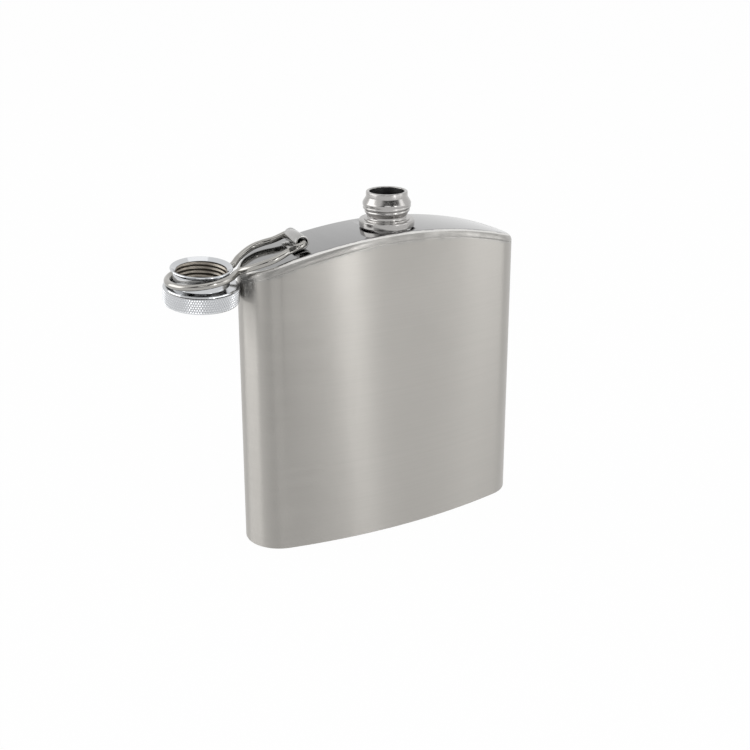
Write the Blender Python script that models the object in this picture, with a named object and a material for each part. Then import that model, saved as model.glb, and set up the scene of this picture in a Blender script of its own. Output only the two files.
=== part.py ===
"""Hip flask with a captive screw cap on a hinged wire bail, cap off and hanging at the left end.

Metres, +Z up. The origin is the middle of the base, +X runs along the flask's width and the
convex front looks towards -Y. Each part is one object with its own material. The bail turns
about hinge_axis, and the cap spins about cap_axis, the middle of the wire ring that holds it.
"""

import math

import bmesh
import bpy
from mathutils import Matrix, Vector

# Body: a bowed, round-ended section, arched at the top.
WIDTH = 0.0930
DEPTH = 0.0245  # front to back at the middle of the width
FRONT_BOW = 0.0060  # how far the front falls back towards each end
BACK_BOW = 0.0023  # how far the hollow of the back comes forward at the middle
SIDE_HEIGHT = 0.0874
ARCH_RISE = 0.0086
EDGE_RADIUS = 0.0019
SKIRT = 0.0004  # straight rim of the top plate below its rounded edge
WALL = 0.0006
BASE_THICKNESS = 0.0008
BASE_BEVEL = 0.0004
WELD_SEAM = 0.0002  # line left between two welded pieces
STATIONS = 56  # steps along the width of the section

# Spout, turned in one piece and set on the top plate.
SPOUT_FORWARD = 0.0015  # ahead of the middle of the section
BORE_RADIUS = 0.00525
LIP_RADIUS = 0.00625
LIP_ROUND = 0.0003
THREAD_RADIUS = 0.0073
THREAD_DEPTH = 0.00035
THREAD_PITCH = 0.0013
THREAD_TURNS = 3
THREAD_RUNOUT = 0.0003  # each turn lies this much deeper than the one above
THREAD_HEIGHT = 0.0069  # uppermost crest above the seat
WAIST_RADIUS = 0.00595
FLANGE_RADIUS = 0.00835
FLANGE_HEIGHT = 0.0021
FLANGE_EDGE = 0.0002
FOOT_RADIUS = 0.0069  # ring at the foot of the waist
FOOT_HEIGHT = 0.0003
SPOUT_HEIGHT = 0.0106  # lip above the seat
SPIGOT_WALL = 0.0007
SPIGOT_DEPTH = 0.0012

# Hinge bracket: a strip rolled into a barrel low over the top plate, with a flat tail.
HINGE_RISE = 0.0024  # hinge axis above the top plate
BAIL_TURN = math.radians(5.5)  # from the width back to the bail's line, along the bowed plate
BARREL_LENGTH = 0.0105
BARREL_CLEARANCE = 0.0006  # wire to barrel
STRIP_THICKNESS = 0.00045
STRIP_START = 220  # degrees round the barrel, where the strip's rolled end stops
TAIL_LENGTH = 0.0034  # from under the barrel, towards the cap

# Bail: one wire, with both ends turned into the barrel and a ring round the cap's groove.
WIRE_RADIUS = 0.0010
PIN_GAP = 0.0024  # between the two wire ends inside the barrel
PIN_BEND = 0.0014
ARM_SPREAD = 0.0070  # arms from the middle at the hinge
EYELET_SPREAD = 0.0085
EYELET_REACH = 0.0105  # widest place of the eyelet from the hinge
EYELET_START = 0.45  # share of that reach along which the arms stay parallel
EYELET_CROWN = 0.0005  # rise of the arms over the straight line from the hinge to the waist
EYELET_SAG = 1.6  # above 1 the crown comes nearer the waist
EYELET_CLOSING = 1.5  # above 1 the arms stay wide for longer on the way to the waist
WAIST_SPREAD = 0.0034
WAIST_STANDOFF = 0.0002  # from the ring to the waist
RING_RADIUS = 0.00975
RING_SLOPE = math.radians(5.5)

# Cap, turned: rim, groove for the ring, shoulder and grip.
RIM_RADIUS = 0.0090
RIM_EDGE = 0.0003
RIM_LAND = 0.0003
COLLAR_DEPTH = 0.0010
MOUTH_DEPTH = 0.0016  # cone that leads in to the thread
THREAD_CLEARANCE = 0.0004  # from the spout's crests to the cap's bore, the root of its thread
GROOVE_RADIUS = 0.00815
GROOVE_DEPTH = 0.0051  # floor of the groove ends this far below the rim
SHOULDER_RADIUS = 0.0105
SHOULDER_DROP = 0.0005
GRIP_RADIUS = 0.0110
GRIP_CHAMFER = 0.00015
GRIP_ROUND = 0.00045
END_THICKNESS = 0.0013
RING_IN_GROOVE = 0.0028  # the ring's middle below the rim
SEAL_THICKNESS = 0.0008
SEAL_SEAT = 0.0001
RIM_STANDOFF = 0.0003  # rim above the flange when the cap is home
CAP_STANDOFF = 0.0002  # hanging cap from the end of the width
CAP_LEAN_FRONT = math.radians(5.0)
CAP_LEAN_SIDE = math.radians(1.5)

TURNED_STEPS = 48

# Worked out from the sizes above.
HALF = WIDTH / 2
FRONT_RADIUS = (HALF**2 + FRONT_BOW**2) / (2 * FRONT_BOW)
BACK_RADIUS = (HALF**2 + BACK_BOW**2) / (2 * BACK_BOW)
FRONT_CENTRE = FRONT_RADIUS - DEPTH / 2
BACK_CENTRE = BACK_RADIUS + DEPTH / 2
PLANE_Y = -SPOUT_FORWARD
SPIGOT_RADIUS = BORE_RADIUS + SPIGOT_WALL
HINGE_SETBACK = (HALF + GRIP_RADIUS + CAP_STANDOFF) / (2 * math.cos(BAIL_TURN))
HINGE_X = -HINGE_SETBACK
BARREL_RADIUS = WIRE_RADIUS + BARREL_CLEARANCE + STRIP_THICKNESS / 2
CAP_X = HINGE_X - HINGE_SETBACK
WAIST_REACH = HINGE_SETBACK - RING_RADIUS - WAIST_STANDOFF
CAP_BORE = THREAD_RADIUS + THREAD_CLEARANCE
SEAL_DEPTH = SPOUT_HEIGHT - FLANGE_HEIGHT - RIM_STANDOFF
CAVITY_DEPTH = SEAL_DEPTH + SEAL_THICKNESS + SEAL_SEAT
CAP_HEIGHT = CAVITY_DEPTH + END_THICKNESS
GRIP_TOP = GROOVE_DEPTH + SHOULDER_DROP + GRIP_CHAMFER


def plate_top(x):
    """Height of the top plate's upper face."""
    return SIDE_HEIGHT + ARCH_RISE * (1 - (x / HALF) ** 2)


SEAT_Z = plate_top(0) + WELD_SEAM
HINGE_Z = plate_top(HINGE_X) + HINGE_RISE
RING_Z = 2 * HINGE_Z - (SEAT_Z + THREAD_HEIGHT)


def material(name, colour, roughness, metallic):
    """A plain Principled material."""
    made = bpy.data.materials.new(name)
    made.use_nodes = True
    shader = made.node_tree.nodes["Principled BSDF"]
    shader.inputs["Base Color"].default_value = (*colour, 1)
    shader.inputs["Roughness"].default_value = roughness
    shader.inputs["Metallic"].default_value = metallic
    made.diffuse_color = (*colour, 1)
    return made


def add_object(name, data, finish):
    """Links an object that holds this mesh or curve."""
    made = bpy.data.objects.new(name, data)
    data.materials.append(finish)
    bpy.context.scene.collection.objects.link(made)
    return made


def add_mesh(name, shape, finish, sharp=math.radians(35)):
    """An object made from a bmesh, shaded smooth except at its real edges."""
    bmesh.ops.remove_doubles(shape, verts=shape.verts, dist=1e-7)
    bmesh.ops.recalc_face_normals(shape, faces=shape.faces)
    data = bpy.data.meshes.new(name)
    shape.to_mesh(data)
    shape.free()
    data.shade_smooth()
    data.set_sharp_from_angle(angle=sharp)
    return add_object(name, data, finish)


def add_axis(name, location, rotation=(0, 0, 0)):
    """An empty on a joint's axis, which carries the moving pieces."""
    made = bpy.data.objects.new(name, None)
    made.location = location
    made.rotation_euler = rotation
    bpy.context.scene.collection.objects.link(made)
    return made


def carry(parent, child):
    """Parents a piece and leaves it where it is."""
    bpy.context.view_layer.update()
    child.parent = parent
    child.matrix_parent_inverse = parent.matrix_world.inverted()


def turn_back(piece):
    """Turns a piece about the spout's axis, on to the bail's line."""
    bpy.context.view_layer.update()
    spout = Matrix.Translation((0, PLANE_Y, 0))
    turn = spout @ Matrix.Rotation(-BAIL_TURN, 4, "Z") @ spout.inverted()
    piece.matrix_world = turn @ piece.matrix_world


def solidify(piece, thickness, offset):
    """Gives a sheet its thickness; offset -1 thickens it inwards and 0 to both sides."""
    modifier = piece.modifiers.new("thickness", "SOLIDIFY")
    modifier.thickness = thickness
    modifier.offset = offset
    modifier.use_even_offset = True


# The section of the body.


def end_circle():
    """(radius, y) of the circle that rounds an end and touches the front and the back."""

    def heights(radius):
        centre = HALF - radius
        from_front = FRONT_CENTRE - math.sqrt((FRONT_RADIUS - radius) ** 2 - centre**2)
        from_back = BACK_CENTRE - math.sqrt((BACK_RADIUS + radius) ** 2 - centre**2)
        return from_front, from_back

    low, high = DEPTH / 10, DEPTH / 2 + BACK_BOW
    for _ in range(60):
        middle = (low + high) / 2
        from_front, from_back = heights(middle)
        if from_front < from_back:
            low = middle
        else:
            high = middle
    return low, heights(low)[0]


END_RADIUS, END_Y = end_circle()
END_X = HALF - END_RADIUS


def section_front(x, inset):
    """y of the front face, the outline drawn in by inset."""
    radius = FRONT_RADIUS - inset
    if abs(x) <= END_X * radius / (FRONT_RADIUS - END_RADIUS):
        return FRONT_CENTRE - math.sqrt(radius**2 - x**2)
    return END_Y - math.sqrt(max(0, (END_RADIUS - inset) ** 2 - (abs(x) - END_X) ** 2))


def section_back(x, inset):
    """y of the back face, the outline drawn in by inset."""
    radius = BACK_RADIUS + inset
    if abs(x) <= END_X * radius / (BACK_RADIUS + END_RADIUS):
        return BACK_CENTRE - math.sqrt(radius**2 - x**2)
    return END_Y + math.sqrt(max(0, (END_RADIUS - inset) ** 2 - (abs(x) - END_X) ** 2))


def section_ring(shape, inset, height):
    """Vertices round the section: along the front from left to right, back from right to left."""
    angles = [math.pi * (step / STATIONS - 0.5) for step in range(STATIONS + 1)]
    widths = [(HALF - inset) * math.sin(angle) for angle in angles]
    front = [(x, section_front(x, inset)) for x in widths]
    back = [(x, section_back(x, inset)) for x in reversed(widths[1:-1])]
    return [shape.verts.new((x, y, height(x))) for x, y in front + back]


def loft(shape, rings):
    """Quads from each ring to the next."""
    for lower, upper in zip(rings, rings[1:]):
        for here in range(len(lower)):
            after = (here + 1) % len(lower)
            shape.faces.new((lower[here], lower[after], upper[after], upper[here]))


def across(shape, ring):
    """Closes a ring with strips from its front to its back."""
    for step in range(STATIONS):
        corners = [ring[step], ring[step + 1], ring[-step - 1], ring[-step % len(ring)]]
        shape.faces.new(list(dict.fromkeys(corners)))


def build_body_wall(finish):
    """The upright wall, a tube of sheet with a round-ended section."""
    shape = bmesh.new()
    foot = section_ring(shape, 0, lambda x: BASE_THICKNESS + WELD_SEAM)
    drop = EDGE_RADIUS + SKIRT + WELD_SEAM
    head = section_ring(shape, 0, lambda x: plate_top(x) - drop)
    loft(shape, [foot, head])
    wall = add_mesh("body_wall", shape, finish)
    solidify(wall, WALL, -1)
    return wall


def build_top_plate(finish):
    """The arched top, its rounded edge turned down to meet the wall, with a hole for the spout."""
    shape = bmesh.new()
    rings = [section_ring(shape, 0, lambda x: plate_top(x) - EDGE_RADIUS - SKIRT)]
    steps = 6
    for step in range(steps + 1):
        turn = math.pi / 2 * step / steps
        inset = EDGE_RADIUS * (1 - math.cos(turn))
        drop = EDGE_RADIUS * (1 - math.sin(turn))
        rings.append(section_ring(shape, inset, lambda x, drop=drop: plate_top(x) - drop))
    loft(shape, rings)
    across(shape, rings[-1])
    plate = add_mesh("top_plate", shape, finish)
    solidify(plate, WALL, -1)
    cut = plate.modifiers.new("spout_hole", "BOOLEAN")
    cut.operation = "DIFFERENCE"
    cut.object = build_hole_cutter(finish)
    return plate


def build_hole_cutter(finish):
    """Guide for the hole that the spout's spigot passes through."""
    shape = bmesh.new()
    bmesh.ops.create_cone(
        shape,
        cap_ends=True,
        segments=TURNED_STEPS,
        radius1=SPIGOT_RADIUS + WELD_SEAM,
        radius2=SPIGOT_RADIUS + WELD_SEAM,
        depth=2 * (EDGE_RADIUS + SPIGOT_DEPTH),
        matrix=Matrix.Translation((0, PLANE_Y, plate_top(0))),
    )
    cutter = add_mesh("spout_hole_cutter", shape, finish)
    cutter.hide_render = True
    cutter.display_type = "WIRE"
    return cutter


def build_bottom_plate(finish):
    """The flat base."""
    shape = bmesh.new()
    rings = [
        section_ring(shape, BASE_BEVEL, lambda x: 0),
        section_ring(shape, 0, lambda x: BASE_BEVEL),
        section_ring(shape, 0, lambda x: BASE_THICKNESS),
    ]
    loft(shape, rings)
    across(shape, rings[0])
    across(shape, rings[-1])
    return add_mesh("bottom_plate", shape, finish)


# Turned pieces.


def rounded(centre, radius, start, end, steps):
    """Points on an arc of a turned profile, from one angle to another in degrees."""
    turns = [math.radians(start + (end - start) * step / steps) for step in range(steps + 1)]
    return [(centre[0] + radius * math.cos(t), centre[1] + radius * math.sin(t)) for t in turns]


def turned(profile, closed):
    """Turns (radius, height) points about Z; a closed profile is a ring's section."""
    shape = bmesh.new()
    points = [shape.verts.new((radius, 0, height)) for radius, height in profile]
    pairs = list(zip(points, points[1:] + points[:1] if closed else points[1:]))
    edges = [shape.edges.new(pair) for pair in pairs]
    bmesh.ops.spin(
        shape,
        geom=points + edges,
        cent=(0, 0, 0),
        axis=(0, 0, 1),
        angle=2 * math.pi,
        steps=TURNED_STEPS,
        use_merge=True,
    )
    bmesh.ops.remove_doubles(shape, verts=shape.verts, dist=1e-7)
    return shape


def thread_profile():
    """Crests and roots of the spout's thread, from the lowest turn up."""
    points = []
    for turn in reversed(range(THREAD_TURNS)):
        crest = THREAD_RADIUS - turn * THREAD_RUNOUT
        middle = THREAD_HEIGHT - turn * THREAD_PITCH
        points += [
            (crest - THREAD_DEPTH, middle - THREAD_PITCH / 2),
            (crest - THREAD_DEPTH / 4, middle - THREAD_PITCH / 4),
            (crest, middle),
            (crest - THREAD_DEPTH / 4, middle + THREAD_PITCH / 4),
        ]
    return points + [(THREAD_RADIUS - THREAD_DEPTH, THREAD_HEIGHT + THREAD_PITCH / 2)]


def build_spout(finish):
    """The neck: spigot, flange, waist, thread and lip round an open bore."""
    threads = thread_profile()
    lead_in = THREAD_RADIUS - LIP_RADIUS - THREAD_DEPTH
    waist = threads[0][0] - WAIST_RADIUS
    outer = [
        (SPIGOT_RADIUS, -SPIGOT_DEPTH),
        (SPIGOT_RADIUS, 0),
        (FLANGE_RADIUS - FLANGE_EDGE, 0),
        (FLANGE_RADIUS, FLANGE_EDGE),
        (FLANGE_RADIUS, FLANGE_HEIGHT - FLANGE_EDGE),
        (FLANGE_RADIUS - FLANGE_EDGE, FLANGE_HEIGHT),
        (FOOT_RADIUS, FLANGE_HEIGHT),
        (FOOT_RADIUS, FLANGE_HEIGHT + FOOT_HEIGHT),
        (WAIST_RADIUS + FOOT_HEIGHT, FLANGE_HEIGHT + 2 * FOOT_HEIGHT),
        (WAIST_RADIUS, threads[0][1] - waist),
        *threads,
        (LIP_RADIUS, threads[-1][1] + lead_in),
    ]
    outer += rounded((LIP_RADIUS - LIP_ROUND, SPOUT_HEIGHT - LIP_ROUND), LIP_ROUND, 0, 90, 3)
    inner = rounded((BORE_RADIUS + LIP_ROUND, SPOUT_HEIGHT - LIP_ROUND), LIP_ROUND, 90, 180, 3)
    shape = turned(outer + inner + [(BORE_RADIUS, -SPIGOT_DEPTH)], closed=True)
    bmesh.ops.translate(shape, verts=shape.verts, vec=(0, PLANE_Y, SEAT_Z))
    return add_mesh("spout", shape, finish)


def cap_profile():
    """Half section of the cap, mouth up, heights from the rim: from the end's middle outwards."""
    grip_end = (GRIP_RADIUS - GRIP_ROUND, GRIP_ROUND - CAP_HEIGHT)
    return [
        (0, -CAP_HEIGHT),
        *rounded(grip_end, GRIP_ROUND, -90, 0, 4),
        (GRIP_RADIUS, -GRIP_TOP),
        (SHOULDER_RADIUS, -GROOVE_DEPTH - SHOULDER_DROP),
        (GROOVE_RADIUS, -GROOVE_DEPTH),
        (GROOVE_RADIUS, -COLLAR_DEPTH),
        (RIM_RADIUS, -RIM_EDGE),
        (RIM_RADIUS - RIM_EDGE / 2, 0),
        (RIM_RADIUS - RIM_EDGE / 2 - RIM_LAND, 0),
        (CAP_BORE, -MOUTH_DEPTH),
        (CAP_BORE, -CAVITY_DEPTH),
        (0, -CAVITY_DEPTH),
    ]


def build_cap(finish, seal_finish):
    """The cap and the seal at the bottom of its thread, hanging mouth up in the wire ring."""
    shape = turned(cap_profile(), closed=False)
    bmesh.ops.translate(shape, verts=shape.verts, vec=(0, 0, RING_IN_GROOVE))
    cap = add_mesh("cap_body", shape, finish)
    radius = CAP_BORE - SEAL_SEAT
    section = [(0, -SEAL_THICKNESS), (radius, -SEAL_THICKNESS), (radius, 0), (0, 0)]
    shape = turned(section, closed=False)
    bmesh.ops.translate(shape, verts=shape.verts, vec=(0, 0, RING_IN_GROOVE - SEAL_DEPTH))
    seal = add_mesh("cap_seal", shape, seal_finish)
    return cap, seal


# Hinge bracket and bail.


def build_hinge_bracket(finish):
    """A strip rolled round the wire's ends, its tail laid along the plate under the bail."""
    section = rounded((0, 0), BARREL_RADIUS, STRIP_START, -90, 24)
    section.append((-TAIL_LENGTH, -BARREL_RADIUS))
    climb = plate_top(HINGE_X + BARREL_RADIUS) - plate_top(HINGE_X - BARREL_RADIUS)
    slope = math.atan(climb / (2 * BARREL_RADIUS))
    shape = bmesh.new()
    points = [shape.verts.new((x, -BARREL_LENGTH / 2, z)) for x, z in section]
    edges = [shape.edges.new(pair) for pair in zip(points, points[1:])]
    swept = bmesh.ops.extrude_edge_only(shape, edges=edges)
    moved = [item for item in swept["geom"] if isinstance(item, bmesh.types.BMVert)]
    bmesh.ops.translate(shape, verts=moved, vec=(0, BARREL_LENGTH, 0))
    bmesh.ops.rotate(shape, verts=shape.verts, matrix=Matrix.Rotation(-slope, 3, "Y"))
    bmesh.ops.translate(shape, verts=shape.verts, vec=(HINGE_X, PLANE_Y, HINGE_Z))
    bracket = add_mesh("hinge_bracket", shape, finish)
    solidify(bracket, STRIP_THICKNESS, 0)
    return bracket


def arm_points():
    """One arm from its end in the barrel to the ring, as (reach from the hinge, spread, rise)."""
    waist_rise = RING_Z - HINGE_Z + (HINGE_SETBACK - WAIST_REACH) * math.tan(RING_SLOPE)

    def rise(reach):
        share = reach / WAIST_REACH
        return waist_rise * share + EYELET_CROWN * math.sin(math.pi * share**EYELET_SAG)

    pin_end = ARM_SPREAD - PIN_BEND
    points = [Vector((0, PIN_GAP / 2, 0)), Vector((0, (PIN_GAP / 2 + pin_end) / 2, 0))]
    for angle in (0, 30, 60, 90):
        turn = math.radians(angle)
        reach = PIN_BEND * (1 - math.cos(turn))
        points.append(Vector((reach, pin_end + PIN_BEND * math.sin(turn), rise(reach))))
    for opening in (0, 1 / 2, 1):
        reach = EYELET_REACH * (EYELET_START + (1 - EYELET_START) * opening)
        spread = ARM_SPREAD + (EYELET_SPREAD - ARM_SPREAD) * math.sin(math.pi / 2 * opening)
        points.append(Vector((reach, spread, rise(reach))))
    for closing in (1 / 3, 2 / 3, 1):
        reach = EYELET_REACH + (WAIST_REACH - EYELET_REACH) * closing
        spread = EYELET_SPREAD + (WAIST_SPREAD - EYELET_SPREAD) * closing**EYELET_CLOSING
        points.append(Vector((reach, spread, rise(reach))))
    return points


def ring_points():
    """The ring, from where one arm meets it round to the other, in the same terms as the arms."""
    to_waist = HINGE_SETBACK - WAIST_REACH
    distance = math.hypot(to_waist, WAIST_SPREAD)
    meets = math.atan2(WAIST_SPREAD, to_waist) + math.acos(min(1, RING_RADIUS / distance))
    steps = 24
    points = []
    for step in range(steps + 1):
        turn = meets + (2 * math.pi - 2 * meets) * step / steps
        out = RING_RADIUS * math.cos(turn)
        rise = RING_Z - HINGE_Z + out * math.sin(RING_SLOPE)
        reach = HINGE_SETBACK - out * math.cos(RING_SLOPE)
        points.append(Vector((reach, RING_RADIUS * math.sin(turn), rise)))
    return points


def smooth_path(points, per_span):
    """Points on the smooth curve through these points."""
    ends = [2 * points[0] - points[1], *points, 2 * points[-1] - points[-2]]
    path = []
    for before, here, after, beyond in zip(ends, ends[1:], ends[2:], ends[3:]):
        for step in range(per_span):
            t = step / per_span
            path.append(
                0.5
                * (
                    2 * here
                    + (after - before) * t
                    + (2 * before - 5 * here + 4 * after - beyond) * t**2
                    + (3 * here - before - 3 * after + beyond) * t**3
                )
            )
    return path + [points[-1]]


def build_bail_wire(finish):
    """One bent wire: pin, eyelet arm, waist, ring, waist, eyelet arm, pin."""
    arm = arm_points()
    other = [Vector((point.x, -point.y, point.z)) for point in reversed(arm)]
    path = smooth_path(arm + ring_points() + other, 2)
    data = bpy.data.curves.new("bail_wire", "CURVE")
    data.dimensions = "3D"
    data.bevel_depth = WIRE_RADIUS
    data.bevel_resolution = 3
    data.use_fill_caps = True
    spline = data.splines.new("POLY")
    spline.points.add(len(path) - 1)
    for point, place in zip(spline.points, path):
        point.co = (HINGE_X - place.x, PLANE_Y - place.y, HINGE_Z + place.z, 1)
    spline.use_smooth = True
    return add_object("bail_wire", data, finish)


def clear_scene():
    """Removes whatever the scene starts with."""
    for item in list(bpy.data.objects):
        bpy.data.objects.remove(item, do_unlink=True)


def main():
    clear_scene()
    brushed = material("brushed_steel", (0.60, 0.585, 0.56), 0.38, 1)
    polished = material("polished_steel", (0.66, 0.66, 0.655), 0.16, 1)
    turned_steel = material("turned_steel", (0.66, 0.65, 0.64), 0.24, 1)
    nickel_wire = material("nickel_wire", (0.58, 0.56, 0.52), 0.26, 1)
    chrome = material("chrome_plate", (0.74, 0.75, 0.77), 0.10, 1)
    rubber = material("seal_rubber", (0.05, 0.05, 0.05), 0.6, 0)

    build_body_wall(brushed)
    build_top_plate(polished)
    build_bottom_plate(brushed)
    build_spout(turned_steel)
    bracket = build_hinge_bracket(polished)

    hinge_axis = add_axis("hinge_axis", (HINGE_X, PLANE_Y, HINGE_Z))
    cap_axis = add_axis("cap_axis", (CAP_X, PLANE_Y, RING_Z), (CAP_LEAN_FRONT, CAP_LEAN_SIDE, 0))
    carry(hinge_axis, build_bail_wire(nickel_wire))
    carry(hinge_axis, cap_axis)
    for piece in build_cap(chrome, rubber):
        piece.parent = cap_axis
    for piece in (bracket, hinge_axis):
        turn_back(piece)


main()
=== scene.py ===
"""Hip flask with a captive screw cap: fine meshes, metal finishes, studio and camera."""

import logging
import math
from collections.abc import Callable, Sequence
from dataclasses import dataclass
from enum import Enum
from functools import cached_property

import bmesh
import bpy
from mathutils import Matrix, Vector


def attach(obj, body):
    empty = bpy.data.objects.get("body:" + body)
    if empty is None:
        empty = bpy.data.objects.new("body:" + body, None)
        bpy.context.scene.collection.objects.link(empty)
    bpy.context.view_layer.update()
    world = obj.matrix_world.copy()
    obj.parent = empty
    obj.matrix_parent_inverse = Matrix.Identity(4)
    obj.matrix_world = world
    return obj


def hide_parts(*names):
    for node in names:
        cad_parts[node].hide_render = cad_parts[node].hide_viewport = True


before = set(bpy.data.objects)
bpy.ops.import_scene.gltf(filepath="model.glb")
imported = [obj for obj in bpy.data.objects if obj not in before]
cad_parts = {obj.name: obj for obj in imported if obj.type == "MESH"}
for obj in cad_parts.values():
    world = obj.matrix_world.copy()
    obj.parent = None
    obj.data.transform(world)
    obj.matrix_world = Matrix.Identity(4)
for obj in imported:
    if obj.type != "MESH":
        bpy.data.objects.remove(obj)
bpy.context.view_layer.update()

LOG = logging.getLogger("hip_flask")
PHOTO_PIXELS = 750
MM = 0.001
TOUCH = 1e-6  # Places closer than this count as the same.
MERGE_DISTANCE = 1e-7
SOLVER_STEPS = 60
AIM = Vector((0, 0, 0.05))  # The flask's middle, from which camera and lamps are placed.
WHITE = (1, 1, 1, 1)

# Short names for the types that recur in the signatures.
Socket = bpy.types.NodeSocket
Sockets = Sequence[tuple[str, str]]
Node = bpy.types.Node
Material = bpy.types.Material
Piece = bpy.types.Object
Shape = bmesh.types.BMesh
Edges = list[bmesh.types.BMEdge]
Verts = list[bmesh.types.BMVert]
Pair = tuple[float, float]
Triple = tuple[float, float, float]
Profile = list[Pair]
HeightAt = Callable[[float], float]


class Body(Enum):
    """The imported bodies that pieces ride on."""

    FLASK = "flask"
    BAIL = "bail"
    CAP = "cap"


class Slot(Enum):
    """The material slots."""

    BRUSHED = "brushed_steel"
    POLISHED = "polished_steel"
    TURNED = "turned_steel"
    WIRE = "nickel_wire"
    CHROME = "chrome"
    RUBBER = "seal_rubber"


# Mesh helpers.


def as_piece(name: str, shape: Shape, sharp: float = 35.0) -> Piece:
    """Turns a bmesh into an object, smooth but for its real edges.

    Args:
        name: The object's name.
        shape: The finished bmesh, which is freed.
        sharp: Angle in degrees above which an edge stays sharp.

    Returns:
        The linked object.
    """
    data = bpy.data.meshes.new(name)
    shape.to_mesh(data)
    shape.free()
    data.shade_smooth()
    data.set_sharp_from_angle(angle=math.radians(sharp))
    piece = bpy.data.objects.new(name, data)
    bpy.context.scene.collection.objects.link(piece)
    return piece


def close_up(shape: Shape) -> None:
    """Merges doubled vertices and points every face outwards."""
    bmesh.ops.remove_doubles(shape, verts=shape.verts, dist=MERGE_DISTANCE)
    bmesh.ops.recalc_face_normals(shape, faces=shape.faces)


def settle(piece: Piece) -> None:
    """Writes a piece's modifiers into its mesh and removes them.

    Args:
        piece: The piece.
    """
    graph = bpy.context.evaluated_depsgraph_get()
    baked = bpy.data.meshes.new_from_object(piece.evaluated_get(graph))
    piece.modifiers.clear()
    piece.data = baked


def thicken(piece: Piece, thickness: float, offset: float) -> None:
    """Gives a sheet its thickness.

    Args:
        piece: The sheet.
        thickness: Its thickness.
        offset: -1 thickens it inwards and 0 to both sides.
    """
    wall = piece.modifiers.new("thickness", "SOLIDIFY")
    wall.thickness = thickness
    wall.offset = offset
    wall.use_even_offset = True


def extrude(shape: Shape, edges: Edges) -> tuple[Verts, Edges]:
    """Extrudes edges, still in the same place.

    Args:
        shape: The bmesh.
        edges: The edges.

    Returns:
        The new vertices, and the new edges between them.
    """
    made = bmesh.ops.extrude_edge_only(shape, edges=edges)["geom"]
    verts = [item for item in made if isinstance(item, bmesh.types.BMVert)]
    lines = [item for item in made if isinstance(item, bmesh.types.BMEdge)]
    chosen = set(verts)
    return verts, [item for item in lines if set(item.verts) <= chosen]


def arc(centre: Pair, radius: float, start: float, end: float, steps: int) -> Profile:
    """Points on an arc of a profile.

    Args:
        centre: The arc's centre.
        radius: Its radius.
        start: First angle in degrees.
        end: Last angle in degrees.
        steps: Number of steps between them.

    Returns:
        The points, steps + 1 of them.
    """
    turns = [math.radians(start + (end - start) * step / steps) for step in range(steps + 1)]
    return [(centre[0] + radius * math.cos(t), centre[1] + radius * math.sin(t)) for t in turns]


def line(start: Pair, end: Pair, steps: int) -> Profile:
    """Evenly spaced points on a straight stretch of a profile, both ends among them."""
    a, b = Vector(start), Vector(end)
    return [tuple(a.lerp(b, step / steps)) for step in range(steps + 1)]


def quarter_round(radius: float, steps: int) -> Profile:
    """Steps round a rounded edge.

    Args:
        radius: The edge's radius.
        steps: Number of steps.

    Returns:
        For each step, how far it has come along one face and what is left along the other.
    """
    turns = [math.pi / 2 * step / steps for step in range(1, steps + 1)]
    return [(radius * (1 - math.cos(turn)), radius * (1 - math.sin(turn))) for turn in turns]


def facing(bearing: float, elevation: float) -> Vector:
    """Direction from the flask outwards.

    Args:
        bearing: Degrees from the flask's bulging front, positive to its right.
        elevation: Degrees above level.

    Returns:
        The direction, of length 1.
    """
    turn, lift = math.radians(bearing), math.radians(elevation)
    level = math.cos(lift)
    return Vector((math.sin(turn) * level, -math.cos(turn) * level, math.sin(lift)))


def lathe(profile: Profile, steps: int, closed: bool = False) -> Shape:
    """Turns a profile about Z.

    Args:
        profile: Points (radius, height); a closed one is the section of a ring.
        steps: Number of steps round the axis.
        closed: Whether the last point joins the first.

    Returns:
        The turned shape, its doubles merged and its faces outwards.
    """
    shape = bmesh.new()
    points = [shape.verts.new((radius, 0, height)) for radius, height in profile]
    pairs = list(zip(points, points[1:] + points[:1] if closed else points[1:]))
    edges = [shape.edges.new(pair) for pair in pairs]
    bmesh.ops.spin(
        shape,
        geom=points + edges,
        cent=(0, 0, 0),
        axis=(0, 0, 1),
        angle=math.tau,
        steps=steps,
        use_merge=True,
    )
    close_up(shape)
    return shape


def cut_in(shape: Shape, change: Callable[[float, float, float], float]) -> None:
    """Changes a turned shape's radius, as a thread or a knurl does.

    Args:
        shape: The turned shape, about Z.
        change: Gives the step in radius for (radius, angle, height).
    """
    for vert in shape.verts:
        radius = math.hypot(vert.co.x, vert.co.y)
        if radius > TOUCH:
            step = change(radius, math.atan2(vert.co.y, vert.co.x), vert.co.z)
            vert.co.x *= 1 + step / radius
            vert.co.y *= 1 + step / radius


def note_turning(piece: Piece) -> None:
    """Stores each vertex's radius and height about Z, for marks left by turning.

    Args:
        piece: The turned piece, still about Z.
    """
    marks = piece.data.attributes.new("turning", "FLOAT_VECTOR", "POINT")
    for vert, mark in zip(piece.data.vertices, marks.data):
        mark.vector = (math.hypot(vert.co.x, vert.co.y), 0, vert.co.z)


# Finishes.


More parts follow.
